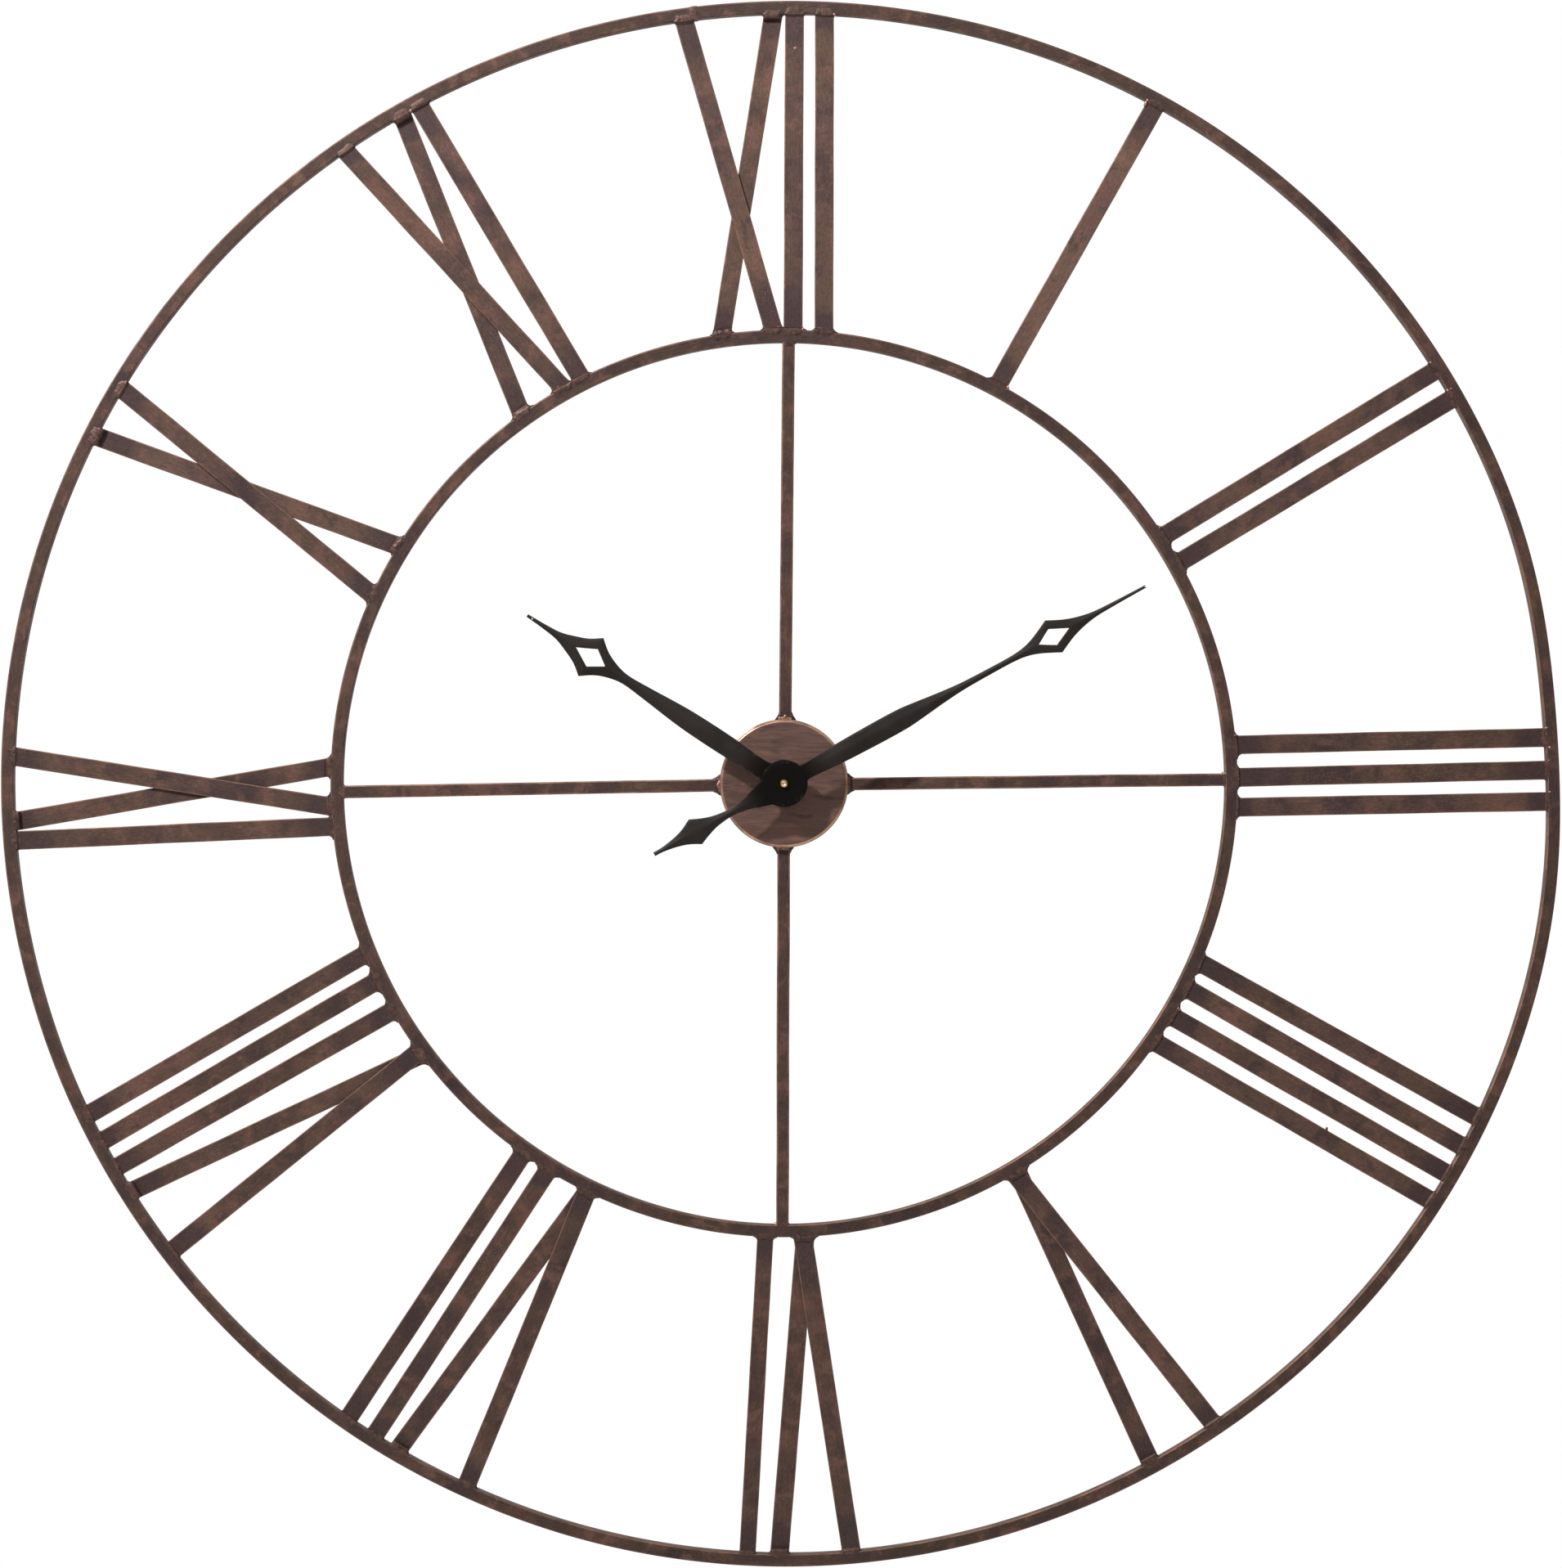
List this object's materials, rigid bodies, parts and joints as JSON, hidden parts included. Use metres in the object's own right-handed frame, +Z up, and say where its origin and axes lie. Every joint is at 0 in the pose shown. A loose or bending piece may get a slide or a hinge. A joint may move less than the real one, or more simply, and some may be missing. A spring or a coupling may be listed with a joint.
{
  "type": "wall clock",
  "caption": "Open round iron wall clock: two rings joined by welded Roman numeral bars, four spokes, a round hub with a battery movement, and pierced hands.",
  "frame": {"origin": "the hook point: the notch in the hanger's lower edge, on the wall plane, straight above the dial's centre", "axes": "+Z up, the clock's front faces -Y, the wall is the plane y = 0, +X to the right as seen from the front"},
  "size_m": [1.2407, 0.0548, 1.2457],
  "materials": {
    "bronzed_iron": "satin",
    "bronzed_hub": "satin",
    "hand_black": "satin",
    "brass": "polished",
    "bright_steel": "satin",
    "black_plastic": "matte",
    "pale_plastic": "satin",
    "rubber": "matte",
    "copper_wire": "satin",
    "battery_jacket": "gloss"
  },
  "bodies": {
    "frame": {"battery_cell": "battery_jacket", "battery_contact_minus": "bright_steel", "battery_contact_plus": "bright_steel", "brass_washer": "brass", "drive_coil": "copper_wire", "hanger_bridge": "bright_steel", "hub_cup": "bronzed_hub", "inner_ring": "bronzed_iron", "mounting_nut": "brass", "movement_case": "black_plastic", "movement_cover": "black_plastic", "numeral_10_bar_1": "bronzed_iron", "numeral_10_bar_2": "bronzed_iron", "numeral_11_bar_1": "bronzed_iron", "numeral_11_bar_2": "bronzed_iron", "numeral_11_bar_3": "bronzed_iron", "numeral_12_bar_1": "bronzed_iron", "numeral_12_bar_2": "bronzed_iron", "numeral_12_bar_3": "bronzed_iron", "numeral_12_bar_4": "bronzed_iron", "numeral_1_bar_1": "bronzed_iron", "numeral_2_bar_1": "bronzed_iron", "numeral_2_bar_2": "bronzed_iron", "numeral_3_bar_1": "bronzed_iron", "numeral_3_bar_2": "bronzed_iron", "numeral_3_bar_3": "bronzed_iron", "numeral_4_bar_1": "bronzed_iron", "numeral_4_bar_2": "bronzed_iron", "numeral_4_bar_3": "bronzed_iron", "numeral_4_bar_4": "bronzed_iron", "numeral_5_bar_1": "bronzed_iron", "numeral_5_bar_2": "bronzed_iron", "numeral_6_bar_1": "bronzed_iron", "numeral_6_bar_2": "bronzed_iron", "numeral_6_bar_3": "bronzed_iron", "numeral_7_bar_1": "bronzed_iron", "numeral_7_bar_2": "bronzed_iron", "numeral_7_bar_3": "bronzed_iron", "numeral_7_bar_4": "bronzed_iron", "numeral_8_bar_1": "bronzed_iron", "numeral_8_bar_2": "bronzed_iron", "numeral_8_bar_3": "bronzed_iron", "numeral_8_bar_4": "bronzed_iron", "numeral_8_bar_5": "bronzed_iron", "numeral_9_bar_1": "bronzed_iron", "numeral_9_bar_2": "bronzed_iron", "numeral_9_bar_3": "bronzed_iron", "outer_ring": "bronzed_iron", "rubber_washer": "rubber", "spoke_bottom": "bronzed_iron", "spoke_left": "bronzed_iron", "spoke_right": "bronzed_iron", "spoke_top": "bronzed_iron"},
    "minute": {"minute_arbor": "bright_steel", "minute_hand": "hand_black", "minute_cap_nut": "brass"},
    "hour": {"hour_wheel": "pale_plastic", "hour_hand": "hand_black"},
    "setting": {"motion_wheel": "pale_plastic", "setting_knob": "pale_plastic"}
  },
  "joints": [
    {"name": "minute_turn", "type": "hinge", "parent": "frame", "child": "minute", "pos_m": [0, 0, -0.6154], "axis": [0, 1, 0], "continuous": true},
    {"name": "hour_turn", "type": "hinge", "parent": "frame", "child": "hour", "pos_m": [0, 0, -0.6154], "axis": [0, 1, 0], "continuous": true},
    {"name": "setting_turn", "type": "hinge", "parent": "frame", "child": "setting", "pos_m": [0, 0, -0.6054], "axis": [0, 1, 0], "continuous": true}
  ],
  "couplings": [
    {"joint": "hour_turn", "follows": "minute_turn", "ratio": 0.083333},
    {"joint": "setting_turn", "follows": "minute_turn", "ratio": -0.33333}
  ]
}
